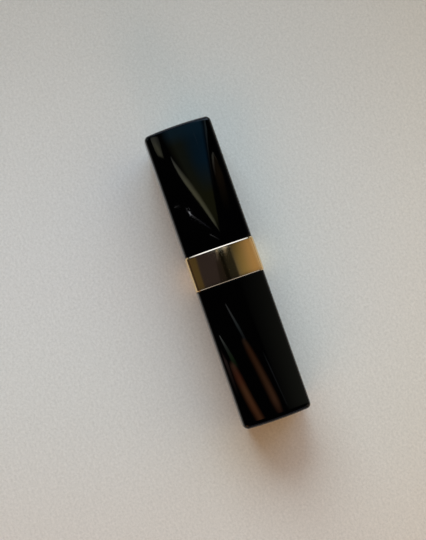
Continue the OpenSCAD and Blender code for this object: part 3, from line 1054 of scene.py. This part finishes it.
def add_base_cards(glow):
    """Painted reflections over the base: glowing cards that the lacquer mirrors as a cool wedge, a pale
    curved streak under it, a corner patch and a few faint glinting lines.
    """
    olive = (0.13, 0.13, 0.065)
    far_olive = (0.13, 0.13, 0.05)
    teal = (0.035, 0.17, 0.34)
    near_teal = (0.07, 0.24, 0.40)
    stops = [(0.0, *olive), (0.35, 0.09, 0.12, 0.09), (0.62, 0.04, 0.14, 0.24), (1.0, *teal)]

    def wedge_colour(t, s):
        colour = mix_values(along(stops, s), far_olive, max(0.0, min(1.0, (t - 0.35) / 0.3)))
        colour = mix_values(colour, near_teal, max(0.0, 1 - t / 0.14))
        edge = min(1.0, s / 0.2, (1 - s) / 0.1)
        tip = min(1.0, (1 - t) / 0.12)
        return scaled(colour, edge * tip)

    add_card("wedge", glow, field(-38.45, -10, [(-4.9,), (-3.4,), (-1.2,), (1.4,)],
                                  [(7.3,), (5.2,), (3.5,), (1.8,)], wedge_colour))
    add_ribbon("streak", glow, [(-32.0, -3.9), (-26.5, -3.3), (-20.0, 0.0), (-9.6, 1.65)],
               [(0.0, 0.12, 0.3, 0.31, 0.3), (0.14, 0.45, 0.80, 0.82, 0.65), (0.4, 0.8, 1.1, 1.08, 0.70),
                (0.6, 0.75, 1.15, 1.1, 0.66), (0.88, 0.5, 0.95, 0.95, 0.62), (1.0, 0.05, 0.1, 0.1, 0.1)],
               SHARP_BELOW)
    add_card("patch", glow,
             [[(-38.3, -7.6, (0.1, 0.11, 0.1)), (-38.2, -6.6, (0.2, 0.21, 0.19)), (-38.1, -5.4, DARK)],
              [(-37.7, -7.6, (0.42, 0.44, 0.38)), (-37.3, -6.5, (0.5, 0.5, 0.4)),
               (-37.0, -5.3, (0.1, 0.1, 0.1))],
              [(-35.5, -7.3, (0.4, 0.4, 0.29)), (-35.3, -6.4, (0.75, 0.73, 0.50)),
               (-35.0, -5.5, (0.2, 0.2, 0.14))],
              [(-33.7, -7.0, (0.35, 0.35, 0.25)), (-33.3, -6.3, (0.66, 0.64, 0.43)),
               (-32.9, -5.7, (0.4, 0.4, 0.3))],
              [(-33.0, -6.9, DARK), (-32.5, -6.2, DARK), (-32.2, -5.6, DARK)]])
    add_ribbon("wedge_edge", glow, [(-38.2, 7.6), (-33, 6.0), (-27, 4.9), (-20, 3.8)],
               [(0.0, 0.45, 0.26, 0.36, 0.40), (0.3, 0.25, 0.17, 0.22, 0.25), (0.6, 0.15, 0.07, 0.08, 0.08),
                (1.0, 0.1, *DARK)])
    add_ribbon("chevron", glow, [(-29.7, 6.6), (-28.0, 6.0), (-26.0, 5.5), (-23.5, 5.2)],
               [(0.0, 0.15, 0.30, 0.30, 0.24), (0.15, 0.32, 0.55, 0.55, 0.44), (0.6, 0.3, 0.30, 0.26, 0.22),
                (1.0, 0.15, *DARK)])
    add_ribbon("chevron_arm", glow, [(-29.5, 6.7), (-28.6, 6.75), (-27.6, 6.9), (-26.4, 7.15)],
               [(0.0, 0.12, 0.35, 0.33, 0.27), (0.5, 0.14, 0.22, 0.17, 0.12), (1.0, 0.1, *DARK)])
    add_ribbon("brown_patch", glow, [(-28.5, 6.4), (-25, 6.4), (-20, 5.9), (-14, 5.2)],
               [(0.0, 0.5, 0.10, 0.07, 0.04), (0.4, 1.3, 0.11, 0.07, 0.03), (1.0, 1.0, *DARK)])
    # Painted glints: thin glowing ribbons that the lacquer mirrors as faint bright lines, the first with a
    # bright spot along it.
    add_ribbon("hair", glow, [(-18.0, -4.7), (-15.8, -3.8), (-13.5, -1.9), (-10.9, -0.1)],
               [(0.0, 0.04, 0.6, 0.6, 0.6), (0.14, 0.06, 3.0, 3.0, 3.2), (0.19, 0.12, 26.0, 27.0, 28.0),
                (0.25, 0.05, 4.5, 4.5, 4.8), (0.4, 0.045, 2.0, 2.0, 2.0), (0.7, 0.04, 0.8, 0.8, 1.0),
                (1.0, 0.04, 0.1, 0.1, 0.1)])
    add_ribbon("hair_b", glow, [(-10.0, -1.1), (-9.6, -0.7), (-9.0, -0.1), (-8.0, 0.8)],
               [(0.0, 0.06, 0.4, 0.4, 0.4), (0.2, 0.08, 1.4, 1.4, 1.4), (1.0, 0.05, 0.3, 0.3, 0.3)])
    add_ribbon("hair_c", glow, [(-19.3, -7.7), (-19.6, -7.0), (-19.5, -6.4), (-19.2, -5.8)],
               [(0.0, 0.08, 0.3, 0.3, 0.3), (0.4, 0.10, 0.9, 0.9, 0.9), (1.0, 0.08, 0.2, 0.2, 0.2)])


def add_cap_cards(glow):
    """Painted reflections over the cap: glowing cards that the lacquer mirrors as two warm tapered strips
    with pale tips, two faint lines, and a dim even glow on the far side.
    """
    add_ribbon("tip_a", glow, [(8.1, -3.1), (11, -2.6), (14.5, -1.95), (18.0, -1.45)],
               [(0.0, 0.12, 0.55, 0.55, 0.55), (0.2, 0.22, 0.55, 0.56, 0.56), (0.6, 0.38, 0.30, 0.36, 0.36),
                (1.0, 0.45, 0.08, 0.09, 0.10)])
    add_ribbon("strip_a", glow, [(17.4, -1.9), (23, -1.0), (30, 0.2), (38.9, 1.0)],
               [(0.0, 0.5, *DARK), (0.05, 0.85, 0.34, 0.19, 0.11), (0.2, 1.1, 0.46, 0.17, 0.07),
                (0.6, 1.3, 0.56, 0.24, 0.11), (0.85, 1.35, 0.64, 0.28, 0.14),
                (1.0, 1.0, 0.10, 0.03, 0.02)], SOFT)
    add_ribbon("tip_b", glow, [(15.0, -7.2), (18, -6.6), (21, -6.1), (24.5, -5.6)],
               [(0.0, 0.12, 1.1, 1.15, 1.1), (0.12, 0.2, 0.7, 0.75, 0.70), (0.35, 0.42, 0.28, 0.31, 0.28),
                (0.7, 0.6, 0.12, 0.22, 0.09), (1.0, 0.7, *DARK)])
    add_ribbon("strip_b", glow, [(21.8, -6.7), (28, -6.0), (34, -5.4), (40.0, -3.9)],
               [(0.0, 0.6, *DARK), (0.08, 1.0, 0.55, 0.25, 0.15), (0.25, 1.3, 0.78, 0.22, 0.11),
                (0.45, 1.3, 0.92, 0.38, 0.16), (0.7, 1.35, 0.92, 0.33, 0.14), (0.9, 1.4, 0.72, 0.27, 0.11),
                (1.0, 1.2, 0.20, 0.06, 0.02)], SOFT)
    add_ribbon("cap_line", glow, [(22.6, 1.85), (27, 2.3), (32, 2.7), (37, 3.15)],
               [(0.0, 0.14, 0.08, 0.09, 0.09), (0.3, 0.22, 0.14, 0.15, 0.16), (1.0, 0.2, 0.07, 0.08, 0.08)])
    add_ribbon("cap_edge", glow, [(18, -8.0), (22, -7.95), (26, -7.9), (31, -7.85)],
               [(0.0, 0.1, *DARK), (0.3, 0.25, 0.30, 0.20, 0.18), (1.0, 0.1, *DARK)])

    # Painted reflection: a dim glow over the far side of the cap, brighter across it and along it towards the
    # cap's end.
    def dim_reflection_colour(t, s):
        level = (0.006 + 0.03 * t + (0.07 + 0.05 * t) * s) * min(1.0, s / 0.06) * min(1.0, (1 - t) / 0.03)
        return (level, 1.03 * level, 0.8 * level)

    add_card("haze", glow, field(3.2, 39.7, [(1.9,), (2.0,), (2.5,), (3.1,)], [(8.4,)] * 4, dim_reflection_colour))


def add_band_cards(glow):
    """Painted reflections over the band: glowing cards that the gold mirrors as stripes along the stick,
    light gold on one side, dark in the middle, dull beyond, with a bright line at its base-side edge.
    """
    x_low, t_low = -6.05, 0.05
    x_high, t_high = 2.75, 1.0
    # Each stripe's y at the base end and at the cap end, and its colour
    stripes = [(-8.5, -8.5, (0.020, 0.010, 0.003)), (-8.35, -8.35, (0.020, 0.010, 0.003)),
               (-8.1, -8.1, (0.074, 0.058, 0.034)), (-6.6, -6.9, (0.068, 0.055, 0.028)),
               (-6.0, -6.5, (0.026, 0.023, 0.031)), (-1.4, -2.6, (0.026, 0.023, 0.031)),
               (-1.2, -2.4, (0.014, 0.012, 0.014)), (-0.6, -0.8, (0.014, 0.013, 0.013)),
               (-0.4, -0.5, (0.004, 0.004, 0.003)), (0.1, 0.3, (0.004, 0.004, 0.003)),
               (0.4, 0.6, (0.014, 0.015, 0.013)), (2.6, 2.5, (0.019, 0.020, 0.016)),
               (2.9, 2.8, (0.095, 0.090, 0.062)), (4.0, 4.0, (0.160, 0.135, 0.066)),
               (5.0, 5.0, (0.215, 0.172, 0.082)), (6.0, 6.0, (0.285, 0.212, 0.110)),
               (7.0, 7.0, (0.350, 0.250, 0.125)), (8.0, 8.0, (0.385, 0.285, 0.165)),
               (8.5, 8.5, (0.37, 0.30, 0.22))]

    def lit(colour, y, t):
        """The light side grows brighter towards the cap, most of all near its inner edge."""
        rise = 0.45 * (8.0 - y) / 5.0 if 2.8 < y < 8.0 else 0.0
        return scaled(colour, 1 + rise * (2 * t - 1.1))

    rows = []
    for x, t in ((x_low, t_low), (x_high, t_high)):
        rows.append([(x, low + (high - low) * t, lit(colour, low, t)) for low, high, colour in stripes])
    add_card("band", glow, rows, BAND_HALF)
    add_ribbon("band_rim", glow, [(-5.78, -3.6), (-5.78, -1.4), (-5.78, 0.8), (-5.78, 2.9)],
               [(0.0, 0.06, 0.10, 0.12, 0.16), (0.4, 0.12, 0.45, 0.60, 0.80), (0.75, 0.18, 0.80, 1.00, 1.25),
                (1.0, 0.08, 0.20, 0.24, 0.30)], half=BAND_HALF)
    add_ribbon("band_tongue_a", glow, [(-6.3, -0.6), (-5.6, -0.75), (-4.4, -1.0), (-2.6, -1.6)],
               [(0.0, 0.60, 0.22, 0.21, 0.19), (0.35, 0.36, 0.22, 0.21, 0.18), (0.5, 0.25, 0.06, 0.06, 0.06),
                (0.75, 0.32, 0.06, 0.06, 0.08), (1.0, 0.1, *DARK)], half=BAND_HALF)
    add_ribbon("band_tongue_b", glow, [(-6.3, 1.5), (-5.6, 1.45), (-4.9, 1.25), (-3.6, 0.9)],
               [(0.0, 0.90, 0.20, 0.19, 0.17), (0.5, 0.50, 0.17, 0.16, 0.14),
                (1.0, 0.15, *DARK)], half=BAND_HALF)


def main():
    add_camera()
    add_world()
    add_floor(table_material())
    add_light("window", 180, 32.5, 6.0, 4.3, (0.742, 0.92, 1.0), 357)
    add_light("sky", 140, 36, 6.0, 6.0, (0.54, 0.76, 1.0), 130)
    add_light("wall", 90, 36, 2.0, 2.0, (1.0, 0.80, 0.46), 11.4)
    add_light("lamp", -55, 36, 2.0, 2.0, (1.0, 0.45, 0.13), 8.5)
    add_light("low_lamp", 0, 18, 2.0, 1.2, (1.0, 0.63, 0.44), 16.4)
    glow = card_material()
    add_base_cards(glow)
    add_cap_cards(glow)
    add_band_cards(glow)
    add_low_sheets(glow)
    add_band_glow("band_glow_near", -1, (1.0, 0.53, 0.2), 0.31e-4)
    add_band_glow("band_glow_far", 1, (1.0, 0.87, 0.5), 0.44e-4)

    lacquer = lacquer_material()
    band_gold = gold_material("gold_band", (1.0, 0.05, 0.05), 0.05)
    cover_gold = gold_material("gold_cover", (0.05, 1.0, 1.0), 0.16)
    black_moulding = moulding_material("black_moulding", (0.016, 0.016, 0.017), (0.030, 0.030, 0.031), 0.45)
    white_moulding = moulding_material("white_moulding", (0.70, 0.69, 0.65), (0.80, 0.79, 0.75), 0.42)

    finish_piece(make_base_shell(), lacquer, "base", "black_lacquer", "base_shell")
    finish_piece(make_cap_shell(), lacquer, "cap", "black_lacquer", "cap_shell")
    finish_piece(make_band(), band_gold, "base", "gold_metal", "collar_band")
    finish_piece(make_sleeve_cover(), cover_gold, "sleeve", "gold_metal", "sleeve_cover")
    cup = finish_piece(make_cup(), cover_gold, "carrier", "gold_metal", "cup")
    add_lugs(cup)
    finish_piece(make_bullet(), wax_material(), "carrier", "lip_wax", "bullet")
    finish_piece(make_label(), paper_material(), "base", "label_paper", "base_label")
    liner = finish_piece(make_liner(), black_moulding, "cap", "black_moulding", "cap_liner")
    add_ribs(liner)

    kept = {"base_insert": black_moulding, "inner_body": black_moulding, "cam_sleeve": white_moulding,
            "base_weight": steel_material(), "drag_ring": silicone_material()}
    for node, material in kept.items():
        for slot in bpy.data.objects[node].material_slots:
            slot.material = material

    scene.view_settings.view_transform = "Standard"


main()
